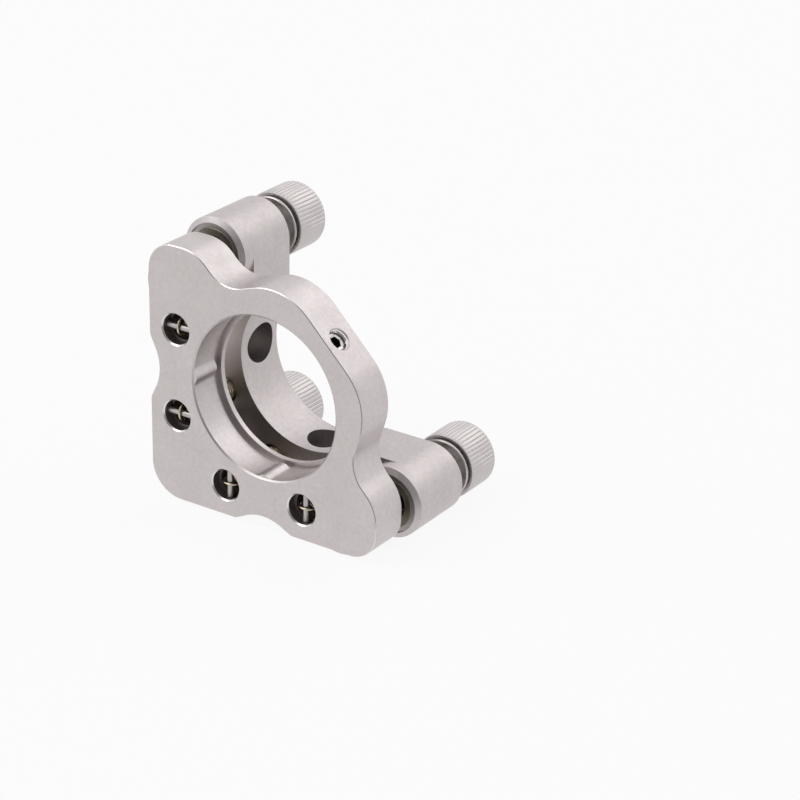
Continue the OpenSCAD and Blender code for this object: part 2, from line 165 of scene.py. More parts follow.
class NodeSheet(NodeTree):
    """A material's node tree, which ends in a Principled surface."""

    def __init__(self, name: str) -> None:
        """Starts an empty sheet.

        Args:
            name: The material's name.
        """
        self.material = bpy.data.materials.new(name)
        self.material.use_nodes = True
        super().__init__(self.material.node_tree)
        self.tree.nodes.clear()
        self.surface = self.add("ShaderNodeBsdfPrincipled")
        self.output = self.add("ShaderNodeOutputMaterial", self.surface.outputs["BSDF"])

    def millimetres(self, foot: Vector = Vector((0, 0, 0)),
                    stretch: tuple[float, float, float] = (1, 1, 1)) -> bpy.types.NodeSocket:
        """Gives object coordinates in mm, counted from a point.

        Args:
            foot: The point that becomes the origin, in mm.
            stretch: How much finer the pattern runs along each axis.

        Returns:
            The coordinates' output.
        """
        place = self.add("ShaderNodeTexCoord").outputs["Object"]
        mapping = self.add("ShaderNodeMapping", place)
        mapping.inputs["Location"].default_value = [-f * s for f, s in zip(foot, stretch)]
        mapping.inputs["Scale"].default_value = [s / MM for s in stretch]
        return mapping.outputs["Vector"]

    def noise(self, where: bpy.types.NodeSocket, scale: float, detail: float = 2.0,
              rough: float = 0.5) -> bpy.types.NodeSocket:
        """Adds a Noise texture.

        Args:
            where: The coordinates that it reads.
            scale: Features per mm.
            detail: How many finer layers it has.
            rough: How strong the finer layers are.

        Returns:
            The noise value, about 0.5 in the mean.
        """
        node = self.add("ShaderNodeTexNoise", where)
        for name, number in (("Scale", scale), ("Detail", detail), ("Roughness", rough)):
            node.inputs[name].default_value = number
        return node.outputs["Fac"]

    def spread(self, value: bpy.types.NodeSocket, low: float, high: float,
               start: float = 0.3, stop: float = 0.7) -> bpy.types.NodeSocket:
        """Maps a value to a range.

        Args:
            value: The value that comes in.
            low: What comes out at start.
            high: What comes out at stop.
            start: The lower end of the value.
            stop: The upper end of the value.

        Returns:
            The mapped value.
        """
        return self.add("ShaderNodeMapRange", value, start, stop, low, high).outputs["Result"]

    def tint(self, value: bpy.types.NodeSocket, dark: Colour, light: Colour) -> None:
        """Colours the surface between two shades.

        Args:
            value: 0 gives the dark shade and 1 the light one.
            dark: The dark shade.
            light: The light shade.
        """
        ramp = self.add("ShaderNodeValToRGB", value)
        for stop, shade in zip(ramp.color_ramp.elements, (dark, light)):
            stop.color = (*shade, 1)
        self.join(ramp.outputs["Color"], self.surface.inputs["Base Color"])

    def stray(self, value: bpy.types.NodeSocket, colour: Colour, share: float) -> None:
        """Colours the surface round a mean colour.

        Args:
            value: 0 gives the darkest shade and 1 the lightest.
            colour: The mean colour.
            share: How far the shades stray from it.
        """
        self.tint(value, tuple(c * (1 - share) for c in colour),
                  tuple(min(1, c * (1 + share)) for c in colour))

    def metal(self, pattern: bpy.types.NodeSocket, roughness: float, swing: float) -> None:
        """Makes the surface metal.

        Args:
            pattern: The pattern that the roughness follows.
            roughness: The mean roughness.
            swing: How far it goes up and down.
        """
        self.surface.inputs["Metallic"].default_value = 1.0
        self.join(self.spread(pattern, roughness + swing, roughness - swing),
                  self.surface.inputs["Roughness"])

    def bump(self, height: bpy.types.NodeSocket, depth: float, strength: float = 1.0) -> None:
        """Raises the surface by a height.

        Args:
            height: The height, 0 to 1.
            depth: What a height of 1 stands for, in mm.
            strength: How much of the effect is kept.
        """
        node = self.add("ShaderNodeBump")
        for name, number in (("Strength", strength), ("Distance", depth * MM)):
            node.inputs[name].default_value = number
        self.join(height, node.inputs["Height"])
        self.join(node.outputs["Normal"], self.surface.inputs["Normal"])


@dataclass(frozen=True)
class Finish:
    """What a surface is made of and how it was worked.

    Attributes:
        name: The material's name.
        colour: Its mean colour.
        roughness: Its mean roughness.
        wander: How far the colour strays, as a share.
    """

    name: str
    colour: Colour
    roughness: float = 0.4
    wander: float = 0.08

    def paint(self, sheet: NodeSheet) -> None:
        """Fills in the material's nodes.

        Args:
            sheet: The material's sheet.
        """
        raise NotImplementedError

    def material(self) -> bpy.types.Material:
        """Returns the finish as a material."""
        sheet = NodeSheet(self.name)
        self.paint(sheet)
        return sheet.material


@dataclass(frozen=True)
class BlastedMetal(Finish):
    """Metal with an even satin surface from fine blasting.

    Attributes:
        grain: Blasting dimples per mm.
        relief: Depth of the dimples, in mm.
        swing: How far the roughness strays.
    """

    grain: float = 9.0
    relief: float = 0.006
    swing: float = 0.04

    def shade(self, sheet: NodeSheet, level: bpy.types.NodeSocket) -> None:
        """Colours the surface round its mean colour.

        Args:
            sheet: The material's sheet.
            level: The mottling, 0 to 1.
        """
        sheet.stray(level, self.colour, self.wander)

    def paint(self, sheet: NodeSheet) -> None:
        """Fills in the material's nodes."""
        where = sheet.millimetres()
        blotch = sheet.noise(where, 0.16, 4, 0.6)
        mottle = sheet.noise(where, 1.3, 3, 0.65)
        grain = sheet.noise(where, self.grain, 2, 0.6)
        mixed = sheet.math("ADD", sheet.math("MULTIPLY", blotch, 0.4),
                           sheet.math("MULTIPLY", mottle, 0.6))
        self.shade(sheet, sheet.spread(mixed, 0, 1))
        sheet.metal(mixed, self.roughness, self.swing)
        sheet.bump(grain, self.relief, 0.6)


@dataclass(frozen=True)
class PaintedShadeMilledFace(BlastedMetal):
    """A face milled on the arms, with painted shade: dark low down, and lighter towards its upper
    end as painted light.

    Attributes:
        lit_colour: The painted light colour at the face's upper end.
        shaded_below: Height under which the face has its full painted shade, in mm.
        lit_above: Height over which it has the full painted light colour, in mm.
        mottling: How much of the colour's range is mottling and not height.
    """

    lit_colour: Colour = (0.7, 0.64, 0.62)
    shaded_below: float = -6.0
    lit_above: float = 3.0
    mottling: float = 0.08

    def shade(self, sheet: NodeSheet, level: bpy.types.NodeSocket) -> None:
        """Paints shade by height, darker towards the bottom and lighter towards the top, with a
        little mottling.

        Args:
            sheet: The material's sheet.
            level: The mottling, 0 to 1.
        """
        height = sheet.spread(sheet.split(sheet.millimetres())[2], 0, 1 - self.mottling,
                              self.shaded_below, self.lit_above)
        mixed = sheet.math("ADD", height, sheet.math("MULTIPLY", level, self.mottling))
        # Painted shade and light: the own colour is the dark shade low down, and the lit colour
        # is the painted light higher up.
        sheet.tint(mixed, self.colour, self.lit_colour)


@dataclass(frozen=True)
class TurnedMetal(Finish):
    """Metal off the lathe, with fine rings round its axis.

    Attributes:
        foot: A point on the axis, in mm.
        rings: Tool marks per mm.
        relief: Depth of the tool marks, in mm.
    """

    wander: float = 0.05
    foot: Vector = Vector((0, 0, 0))
    rings: float = 7.0
    relief: float = 0.004

    def paint(self, sheet: NodeSheet) -> None:
        """Fills in the material's nodes."""
        where = sheet.millimetres(self.foot)
        x, y, z = sheet.split(where)
        out = sheet.math("SQRT", sheet.math(
            "ADD", sheet.math("POWER", x, 2.0), sheet.math("POWER", z, 2.0)))
        marks = sheet.add("ShaderNodeCombineXYZ", out, y)
        rings = sheet.noise(marks.outputs["Vector"], self.rings, 2, 0.65)
        blotch = sheet.noise(where, 0.5, 3, 0.6)
        mixed = sheet.math("ADD", sheet.math("MULTIPLY", blotch, 0.5),
                           sheet.math("MULTIPLY", rings, 0.5))
        sheet.stray(sheet.spread(mixed, 0, 1), self.colour, self.wander)
        sheet.metal(rings, self.roughness, self.wander)
        sheet.bump(rings, self.relief, 0.6)


@dataclass(frozen=True)
class DrawnMetal(Finish):
    """Wire or ground bar, with fine streaks along one axis.

    Attributes:
        along: How much finer the streaks run along x, y and z.
    """

    along: tuple[float, float, float] = (4, 4, 4)

    def paint(self, sheet: NodeSheet) -> None:
        """Fills in the material's nodes."""
        streaks = sheet.noise(sheet.millimetres(stretch=self.along), 1.5, 3, 0.6)
        sheet.stray(sheet.spread(streaks, 0, 1), self.colour, self.wander)
        sheet.metal(streaks, self.roughness, self.wander)
        sheet.bump(streaks, 0.003, 0.4)


@dataclass(frozen=True)
class MouldedNylon(Finish):
    """The set screw's soft tip: natural nylon, slightly cloudy."""

    name: str = "natural nylon"
    colour: Colour = (0.78, 0.75, 0.68)

    def paint(self, sheet: NodeSheet) -> None:
        """Fills in the material's nodes."""
        cloud = sheet.noise(sheet.millimetres(), 2.5, 3, 0.5)
        sheet.tint(sheet.spread(cloud, 0, 1), tuple(c * 0.93 for c in self.colour), self.colour)
        sheet.join(sheet.spread(cloud, 0.5, 0.42), sheet.surface.inputs["Roughness"])
        sheet.surface.inputs["IOR"].default_value = 1.53
        sheet.bump(cloud, 0.01, 0.4)


@dataclass(frozen=True)
class TableTop(Finish):
    """The pale floor that the mount stands on.

    Attributes:
        whiteness: How far it is plain white where it is seen or mirrored.
        shaded_x: Where its mirrored tone starts and ends to fall along x, in mm.
        shaded_y: The same along y.
        shaded_tone: The mirrored tone past both.
    """

    name: str = "pale table"
    colour: Colour = (0.93, 0.93, 0.93)
    whiteness: float = 0.9
    shaded_x: tuple[float, float] = (32.0, 48.0)
    shaded_y: tuple[float, float] = (0.0, -10.0)
    shaded_tone: float = 0.25

    def paint(self, sheet: NodeSheet) -> None:
        """Makes the floor matt, but mostly plain white where it is seen or mirrored."""
        cloud = sheet.noise(sheet.millimetres(), 0.01, 2, 0.5)
        sheet.tint(sheet.spread(cloud, 0, 1), tuple(c * 0.99 for c in self.colour), self.colour)
        sheet.surface.inputs["Roughness"].default_value = 0.9
        sheet.surface.inputs["Specular IOR Level"].default_value = 0.1
        path = sheet.add("ShaderNodeLightPath").outputs
        seen = sheet.math("MAXIMUM", path["Is Camera Ray"], sheet.math(
            "MAXIMUM", path["Is Glossy Ray"], path["Is Transmission Ray"]))
        x, y, _ = sheet.split(sheet.millimetres())
        past = sheet.math("MULTIPLY", sheet.spread(x, 0, 1, *self.shaded_x),
                          sheet.spread(y, 0, 1, *self.shaded_y))
        tone = sheet.spread(past, 1.0, self.shaded_tone, 0, 1)
        white = sheet.add("ShaderNodeEmission", None,
                          sheet.math("MAXIMUM", path["Is Camera Ray"], tone))
        blend = sheet.add("ShaderNodeMixShader", sheet.math("MULTIPLY", seen, self.whiteness),
                          sheet.surface.outputs["BSDF"], white.outputs["Emission"])
        sheet.join(blend.outputs["Shader"], sheet.output.inputs["Surface"])


class GeometryTree(NodeTree):
    """A Geometry Nodes tree with named inputs, built node by node."""

    def __init__(self, name: str) -> None:
        """Starts a tree that takes and gives a geometry.

        Args:
            name: The tree's name.
        """
        super().__init__(bpy.data.node_groups.new(name, "GeometryNodeTree"))
        self.sockets: dict[str, str] = {}
        self._socket("Geometry", "NodeSocketGeometry", "INPUT")
        self.tree.interface.new_socket(name="Geometry", in_out="OUTPUT",
                                       socket_type="NodeSocketGeometry")
        self.start = self.add("NodeGroupInput")

    def _socket(self, name: str, kind: str, way: str) -> None:
        """Adds a named socket to the tree's interface and keeps its identifier."""
        made = self.tree.interface.new_socket(name=name, in_out=way, socket_type=kind)
        self.sockets[name] = made.identifier

    def takes(self, **kinds: str) -> None:
        """Adds named inputs, such as Depth="Float"."""
        for name, kind in kinds.items():
            self._socket(name.replace("_", " "), f"NodeSocket{kind}", "INPUT")

    def close(self, geometry: bpy.types.NodeSocket) -> None:
        """Ends the tree: real geometry, with the material that comes in."""
        real = self.add("GeometryNodeRealizeInstances", geometry)
        finish = self.add("GeometryNodeSetMaterial", real.outputs["Geometry"], None,
                          self.start.outputs["Finish"])
        self.add("NodeGroupOutput", finish.outputs["Geometry"])

    def run(self, piece: bpy.types.Object, **values: object) -> None:
        """Runs the tree on a piece and leaves the result as its plain mesh.

        Args:
            piece: The object to work on.
            **values: A value for each named input.
        """
        step = piece.modifiers.new("shaping", "NODES")
        step.node_group = self.tree
        for name, value in values.items():
            step[self.sockets[name.replace("_", " ")]] = value
        graph = bpy.context.evaluated_depsgraph_get()
        shaped = bpy.data.meshes.new_from_object(piece.evaluated_get(graph), depsgraph=graph)
        piece.modifiers.clear()
        raw, piece.data = piece.data, shaped
        shaped.name = piece.name
        bpy.data.meshes.remove(raw)


class CutTree(GeometryTree):
    """Cuts straight grooves or a thread into a turned piece, round the Y axis."""

    def __init__(self) -> None:
        """Builds the tree: each point moves inwards by a V-shaped wave of its phase."""
        super().__init__("grooves and threads")
        self.takes(Grooves="Float", Turns_per_metre="Float", Depth="Float", Land="Float",
                   Finish="Material")
        start = self.start.outputs
        x, y, z = self.split(self.add("GeometryNodeInputPosition").outputs["Position"])
        angle = self.math("MULTIPLY", self.math("ARCTAN2", z, x), 0.5 / math.pi)
        phase = self.math("ADD", self.math("MULTIPLY", angle, start["Grooves"]),
                          self.math("MULTIPLY", y, start["Turns per metre"]))
        wave = self.math("ABSOLUTE", self.math(
            "SUBTRACT", self.math("MULTIPLY", self.math("FLOORED_MODULO", phase, 1.0), 2.0), 1.0))
        steep = self.math("DIVIDE", self.math("SUBTRACT", wave, start["Land"]),
                          self.math("SUBTRACT", 1.0, start["Land"]))
        share = self.add("GeometryNodeInputNamedAttribute", "cut", data_type="FLOAT")
        cut = self.math("MULTIPLY", self.math("MAXIMUM", steep, 0.0),
                        self.math("MULTIPLY", share.outputs["Attribute"], start["Depth"]))
        flat = self.add("ShaderNodeCombineXYZ", x, None, z)
        unit = self.add("ShaderNodeVectorMath", flat.outputs["Vector"], operation="NORMALIZE")
        inwards = self.add("ShaderNodeVectorMath", unit.outputs["Vector"], None, None,
                           self.math("MULTIPLY", cut, -1.0), operation="SCALE")
        move = self.add("GeometryNodeSetPosition", start["Geometry"], None, None,
                        inwards.outputs["Vector"])
        self.close(move.outputs["Geometry"])


class WireTree(GeometryTree):
    """Draws round wire along a path of edges."""

    def __init__(self) -> None:
        """Builds the tree: the edges become a curve, swept by a circle and capped."""
        super().__init__("drawn wire")
        self.takes(Wire_radius="Float", Sides="Int", Finish="Material")
        start = self.start.outputs
        path = self.add("GeometryNodeMeshToCurve", start["Geometry"])
        circle = self.add("GeometryNodeCurvePrimitiveCircle", start["Sides"], mode="RADIUS")
        self.join(start["Wire radius"], circle.inputs["Radius"])
        sweep = self.add("GeometryNodeCurveToMesh", path.outputs["Curve"],
                         circle.outputs["Curve"])
        sweep.inputs["Fill Caps"].default_value = True
        self.close(sweep.outputs["Mesh"])


@dataclass(frozen=True)
class Ring:
    """One ring of a turned profile.

    Attributes:
        y: Place along the axis, in mm.
        r: Radius, in mm. 0 is a pole. On a hexagon it is half the width across flats.
        cut: Share of the grooves' or thread's depth that this ring takes.
        hexed: Whether the ring is a hexagon.
    """

    y: float
    r: float
    cut: float = 0.0
    hexed: bool = False

    def reach(self, angle: float) -> float:
        """Returns the radius at an angle, in radians."""
        if not self.hexed:
            return self.r
        return self.r / math.cos(angle % (math.pi / 3) - math.pi / 6)


def thread(start: float, stop: float, radius: float, gap: float) -> list[Ring]:
    """Returns the closely spaced rings of a threaded stretch.

    Args:
        start: Where the stretch starts, in mm.
        stop: Where it ends, in mm.
        radius: The thread's radius, in mm.
        gap: The space between two rings, in mm.

    Returns:
        Rings that are cut to the full depth, but for the first and the last.
    """
    count = int((stop - start) / gap)
    return [Ring(start + gap * k, radius, float(0 < k < count)) for k in range(count + 1)]


def hex_socket(end: float, flats: float, depth: float, lead: float, cone: float,
               tip: float) -> list[Ring]:
    """Returns a hex socket's rings, from its mouth to the bottom of its drilled cone.

    Args:
        end: The face that it is sunk in, in mm.
        flats: Its width across flats, in mm.
        depth: Its depth, in mm.
        lead: The chamfer at its mouth, in mm.
        cone: Depth of the cone below it, in mm.
        tip: Depth of the cone's blunt tip, in mm.
    """
    half, floor, blunt = flats / 2, end - depth, 0.4
    return [Ring(end, corner(flats) + lead), Ring(end - lead, half, hexed=True),
            Ring(floor, half, hexed=True), Ring(floor - cone, blunt), Ring(floor - cone - tip, 0)]


def corner(flats: float) -> float:
    """Returns a hexagon's corner radius from its width across flats."""
    return flats / 2 / math.cos(math.pi / 6)


class Workshop:
    """Makes, finishes and hands over pieces."""

    def __init__(self) -> None:
        """Builds the shared trees and an empty store of materials."""
        self.cut = CutTree()
        self.wire = WireTree()
        self.finishes: dict[str, bpy.types.Material] = {}

    def finish(self, style: Finish) -> bpy.types.Material:
        """Gives the material of a finish, made once.

        Args:
            style: Any of the finish classes.

        Returns:
            The material.
        """
        if style.name not in self.finishes:
            self.finishes[style.name] = style.material()
        return self.finishes[style.name]

    @staticmethod
    def piece(name: str, data: bpy.types.ID) -> bpy.types.Object:
        """Puts a mesh, a lamp or a camera into the scene.

        Args:
            name: The object's name.
            data: Its mesh, lamp or camera.

        Returns:
            The new object.
        """
        made = bpy.data.objects.new(name, data)
        bpy.context.scene.collection.objects.link(made)
        return made

    @staticmethod
    def smooth(mesh: bpy.types.Mesh, angle: float) -> None:
        """Shades a mesh smoothly, with sharp edges above an angle in degrees."""
        mesh.polygons.foreach_set("use_smooth", [True] * len(mesh.polygons))
        mesh.set_sharp_from_angle(angle=math.radians(angle))

    def turned(self, name: str, rings: Sequence[Ring], steps: int,
               closed: bool = False) -> bpy.types.Object:
        """Turns a profile round the Y axis.

        Args:
            name: The piece's name.
            rings: The profile, from one end to the other.
            steps: Points in a ring.
            closed: Whether the profile runs back to its start.

        Returns:
            The piece, with its axis on the Y axis.
        """
        work = bmesh.new()
        share = work.verts.layers.float.new("cut")
        loops: list[list[bmesh.types.BMVert]] = []
        for ring in rings:
            if ring.r == 0:
                loops.append([work.verts.new((0, ring.y * MM, 0))])
                continue
            loop = []
            for k in range(steps):
                angle = 2 * math.pi * k / steps
                far = ring.reach(angle) * MM
                vert = work.verts.new((far * math.cos(angle), ring.y * MM, far * math.sin(angle)))
                vert[share] = ring.cut
                loop.append(vert)
            loops.append(loop)
        pairs = list(zip(loops, loops[1:]))
        if closed:
            pairs.append((loops[-1], loops[0]))
        for one, two in pairs:
            for k in range(steps):
                corners = [one[k % len(one)], one[(k + 1) % len(one)],
                           two[(k + 1) % len(two)], two[k % len(two)]]
                work.faces.new(list(dict.fromkeys(corners)))
        bmesh.ops.recalc_face_normals(work, faces=work.faces)
        mesh = bpy.data.meshes.new(name)
        work.to_mesh(mesh)
        work.free()
        return self.piece(name, mesh)

    def paint_socket_shade(self, piece: bpy.types.Object, reach: float, mouth: float) -> None:
        """Paints the inside of a turned piece's hex socket near black, as painted shade.

        Args:
            piece: The piece, still on the Y axis.
            reach: The socket's corner radius, in mm.
            mouth: Where the socket starts, in mm; it runs up to 4 mm forward of it.
        """
        piece.data.materials.append(self.finish(SOCKET_PAINTED_SHADE))
        for face in piece.data.polygons:
            points = [piece.data.vertices[k].co / MM for k in face.vertices]
            if all(math.hypot(p.x, p.z) < reach + 0.02 and mouth - 4 < p.y < mouth + 0.01
                   for p in points):
                face.material_index = 1

    def place(self, piece: bpy.types.Object, where: Matrix) -> None:
        """Moves a piece's mesh, so that its object stays at the origin."""
        piece.data.transform(where)
        piece.data.update()

    def stands_for(self, piece: bpy.types.Object, body: str, node: str, slot: str) -> None:
        """Makes a piece ride on a body in place of a node.

        Args:
            piece: The finished piece.
            body: The body that it rides on.
            node: The node that it stands for.
            slot: The record's material slot; not used.
        """
        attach(piece, body)
        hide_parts(node)
        log.info("%s: %d faces, for %s", piece.name, len(piece.data.polygons), node)

    def dress(self, node: str, style: Finish) -> None:
        """Gives a node that stays as it is its finish.

        Args:
            node: The node's name.
            style: Any of the finish classes.
        """
        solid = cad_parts[node]
        solid.data.materials.clear()
        solid.data.materials.append(self.finish(style))
        log.info("%s: finished as %s", node, style.name)


@dataclass(frozen=True)
class EdgeBreak:
    """Which edges of a machined block are broken, and how wide.

    Attributes:
        width: Width of the break, in mm.
        picks: Says of an edge's two faces and its middle in mm if the edge is one.
    """

    width: float
    picks: Callable[[Vector, Vector, Vector], bool]


class MachinedBlock:
    """A block milled from plate: its node's shape, with broken edges and a blasted skin.

    Sizes are in mm: hole and rim are the spring holes' radius without and with the chamfer,
    and no edge within guard of an adjuster's or a spring's axis is broken. Points nearer than
    same, in m, are merged, and faces that turn by less than flat become one.
    """

    same = 0.0005 * MM
    flat = math.radians(0.05)
    sharp = math.radians(25)
    hole = 2.95
    rim = 3.2
    guard = 3.4
    forward = Vector((0, 1, 0))

    def __init__(self, shop: Workshop, node: str, body: str) -> None:
        """Keeps the names.

        Args:
            shop: The workshop.
            node: The node that the block stands for.
            body: The body that it rides on.
        """
        self.shop, self.node, self.body = shop, node, body
        self.springs = [place.axis() for place in SpringPlace]
        self.adjusters = [station.axis() for station in Station]

    @staticmethod
    def inside(points: Sequence[Vector], feet: Sequence[Vector], radius: float) -> bool:
        """Says if all the points, in mm, are that near one of the axes along Y."""
        return any(all(math.hypot(p.x - f.x, p.z - f.z) < radius + 0.02 for p in points)
                   for f in feet)

    def breaks(self) -> list[EdgeBreak]:
        """Returns the edge breaks, in the order they are cut."""
        raise NotImplementedError

    def skins(self) -> tuple[Finish, ...]:
        """Returns the finishes: faces, broken edges with a painted highlight, the spring holes'
        walls with painted shade, and any others.
        """
        raise NotImplementedError

    def special(self, points: list[Vector]) -> int:
        """Returns the place in skins() of the finish of a face with these corners, in mm."""
        return 0

    def merged(self) -> bmesh.types.BMesh:
        """Returns a merged copy of the node, with its flats in one piece."""
        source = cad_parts[self.node].data
        work = bmesh.new()
        verts = [work.verts.new(v.co) for v in source.vertices]
        for face in source.polygons:
            work.faces.new([verts[k] for k in face.vertices])
        bmesh.ops.remove_doubles(work, verts=work.verts, dist=self.same)
        bmesh.ops.dissolve_degenerate(work, edges=work.edges, dist=self.same)
        bmesh.ops.dissolve_limit(work, angle_limit=self.flat, verts=work.verts, edges=work.edges)
        work.normal_update()
        return work

    def build(self) -> bpy.types.Object:
        """Makes the block.

        Returns:
            The finished piece.
        """
        work = self.merged()
        for cut in self.breaks():
            work.edges.ensure_lookup_table()
            chosen = []
            for edge in work.edges:
                if len(edge.link_faces) != 2 or edge.calc_face_angle(0) < self.sharp:
                    continue
                if any(face.material_index for face in edge.link_faces):
                    continue
                one, two = (face.normal for face in edge.link_faces)
                middle = (edge.verts[0].co + edge.verts[1].co) / 2 / MM
                if cut.picks(one, two, middle):
                    chosen.append(edge)
            # The new edge faces take the second finish, which is lighter as a painted highlight.
            bmesh.ops.bevel(work, geom=chosen, offset=cut.width * MM, offset_type="OFFSET",
                            segments=1, profile=0.5, affect="EDGES", clamp_overlap=False,
                            loop_slide=True, material=1)
            log.info("%s: %d edges broken by %.2f mm", self.node, len(chosen), cut.width)
        for face in work.faces:
            if face.material_index == 0:
                points = [v.co / MM for v in face.verts]
                if self.inside(points, self.springs, self.hole):
                    # The spring holes' walls take the third finish, which is darker as painted
                    # shade.
                    face.material_index = 2
                elif self.inside(points, self.springs, self.rim) and abs(face.normal.y) < 0.9:
                    # The spring holes' rims take the edges' finish, which is lighter as a painted
                    # highlight.
                    face.material_index = 1
                else:
                    face.material_index = self.special(points)
        mesh = bpy.data.meshes.new(f"{self.node}_block")
        work.to_mesh(mesh)
        work.free()
        for style in self.skins():
            mesh.materials.append(self.shop.finish(style))
        self.shop.smooth(mesh, 22)
        piece = self.shop.piece(mesh.name, mesh)
        self.shop.stands_for(piece, self.body, self.node, "stainless")
        return piece


SATIN = BlastedMetal("blasted stainless", (0.585, 0.54, 0.538), 0.42)
FRAME_SATIN = BlastedMetal("blasted frame", (0.565, 0.522, 0.52), 0.5)
# Broken edges, hole rims and the tapped thread: smoother as machined, and lighter in colour as a
# painted highlight.
CUT_EDGE_WITH_PAINTED_HIGHLIGHT = BlastedMetal("cut edge with painted highlight", (0.72, 0.68, 0.675), 0.26, 0.04, 9.0, 0.003)
# Hole walls and bores: a darker colour that paints the shade inside them.
BORED_PAINTED_SHADE = BlastedMetal("bored wall, painted shade", (0.29, 0.262, 0.256), 0.45, 0.06, 6.0, 0.004)
# Post holes' counterbores and the bosses' recess floors: a darker colour that paints their shade.
COUNTERBORED_PAINTED_SHADE = BlastedMetal("counterbored wall, painted shade", (0.43, 0.395, 0.39), 0.45, 0.06, 6.0, 0.004)
# The arms' front face: painted shade, darker low down and lighter higher up.
MILLED_PAINTED_SHADE = PaintedShadeMilledFace("milled face, painted shade", (0.3, 0.265, 0.25), 0.45)
# Inside the hex sockets: near black, as painted shade in the deep recess.
SOCKET_PAINTED_SHADE = BlastedMetal("hex socket, painted shade", (0.075, 0.08, 0.075), 0.35, 0.1, 6.0, 0.004)


def lies_on(normal: Vector, way: Vector) -> bool:
    """Says if a face looks along a direction, one way or the other."""
    return abs(normal.dot(way)) > 0.999


class FrontPlate(MachinedBlock):
    """The plate that holds the optic, pulled against the three balls."""

    outline = 0.13
    past_bore = 17.0

    def breaks(self) -> list[EdgeBreak]:
        """Returns the breaks along the outline."""
        def outer(one: Vector, two: Vector, middle: Vector) -> bool:
            """Picks the outline's front and rear edges."""
            side = one if lies_on(two, self.forward) else two
            flat = two if side is one else one
            out = side.x * middle.x + side.z * middle.z > 0
            return (lies_on(flat, self.forward) and abs(side.y) < 0.1 and out
                    and math.hypot(middle.x, middle.z) > self.past_bore
                    and not self.inside([middle], self.springs + self.adjusters, self.guard))

        return [EdgeBreak(self.outline, outer)]

    def skins(self) -> tuple[Finish, ...]:
        """Returns the plate's finishes."""
        return SATIN, CUT_EDGE_WITH_PAINTED_HIGHLIGHT, BORED_PAINTED_SHADE


class RearFrame(MachinedBlock):
    """The L-shaped frame that carries the bushings and is bolted to a post.

    Sizes are in mm, with y from the plate's front face. post_y and post_mid place the post holes'
    axes, and post_hole is their counterbores' radius.
    """

    edge = 0.15
    rear = 25.2
    boss_bore = 4.75
    boss_recess = 5.75
    boss_floor = 11.25
    arm_front = 14.1
    post_hole = 3.9
    post_y = 19.9
    post_mid = 0.3
    inner_arc = 15.35

    def breaks(self) -> list[EdgeBreak]:
        """Returns the breaks round the frame's rear face."""
        def rear(one: Vector, two: Vector, middle: Vector) -> bool:
            """Picks the rear face's edges, but for the spring holes' chamfers."""
            return (middle.y > self.rear - 0.1
                    and (lies_on(one, self.forward) or lies_on(two, self.forward))
                    and not self.inside([middle], self.springs, self.guard))

        return [EdgeBreak(self.edge, rear)]

    def skins(self) -> tuple[Finish, ...]:
        """Returns the frame's finishes."""
        return FRAME_SATIN, CUT_EDGE_WITH_PAINTED_HIGHLIGHT, BORED_PAINTED_SHADE, COUNTERBORED_PAINTED_SHADE, MILLED_PAINTED_SHADE

    def special(self, points: list[Vector]) -> int:
        """Picks the faces with painted shade: the bosses' bores, the counterbores and recess
        floors, and the arms' milled front, shaded low and lighter higher up.
        """
        # Bores, counterbores and the arms' front take darker finishes that paint their shade.
        if self.inside(points, self.adjusters, self.boss_bore):
            return 2
        if all(abs(p.y - self.arm_front) < 0.01 for p in points):
            return 4
        if all(abs(p.y - self.boss_floor) < 0.01 for p in points) and self.inside(
                points, self.adjusters, self.boss_recess):
            return 3
        near = 0.02
        reach = [math.hypot(p.x, p.z) - self.inner_arc for p in points]
        if any(r < -near for r in reach) or all(abs(r) < near for r in reach):
            return 0
        left, below = (all(math.hypot(p.y - self.post_y, p[way] - self.post_mid)
                           < self.post_hole + near for p in points) for way in (2, 0))
        return 3 if left or below else 0


@dataclass(frozen=True)
class KnobSizes:
    """The knob's sizes, in mm, with y from the plate's front face."""

    start: float = 28.4
    collar: float = 5.7
    neck_from: float = 29.0
    neck: float = 5.0
    barrel_from: float = 29.5
    barrel: float = 6.35
    end: float = 37.7
    lead: float = 0.35
    rear_round: float = 0.9
    dish: float = 4.4
    dish_depth: float = 1.4
    bore: float = 3.0
    grooves: int = 48
    groove_depth: float = 0.13
    land: float = 0.62
    edge: float = 0.15
    barrel_edge: float = 0.05


@dataclass(frozen=True)
class ScrewSizes:
    """The adjuster screw's sizes, in mm, with y from the plate's front face.

    The thread is cut only where it shows, from the length hidden before the bushing's end.
    """

    nose_from: float = 9.4
    nose: float = 2.4
    thread_from: float = 13.4
    radius: float = 3.0
    end: float = 36.7
    pitch: float = 0.25
    thread_depth: float = 0.15
    ball: float = 2.0
    ball_y: float = 8.83
    hex_flats: float = 2.0
    hex_depth: float = 3.0
    lead: float = 0.2
    hidden: float = 2.2


@dataclass(frozen=True)
class BushingSizes:
    """The threaded bushing's sizes, in mm, with y from the plate's front face."""

    start: float = 11.25
    end: float = 25.2
    outside: float = 4.75
    bore: float = 3.03
    edge: float = 0.12
    sink: float = 0.4


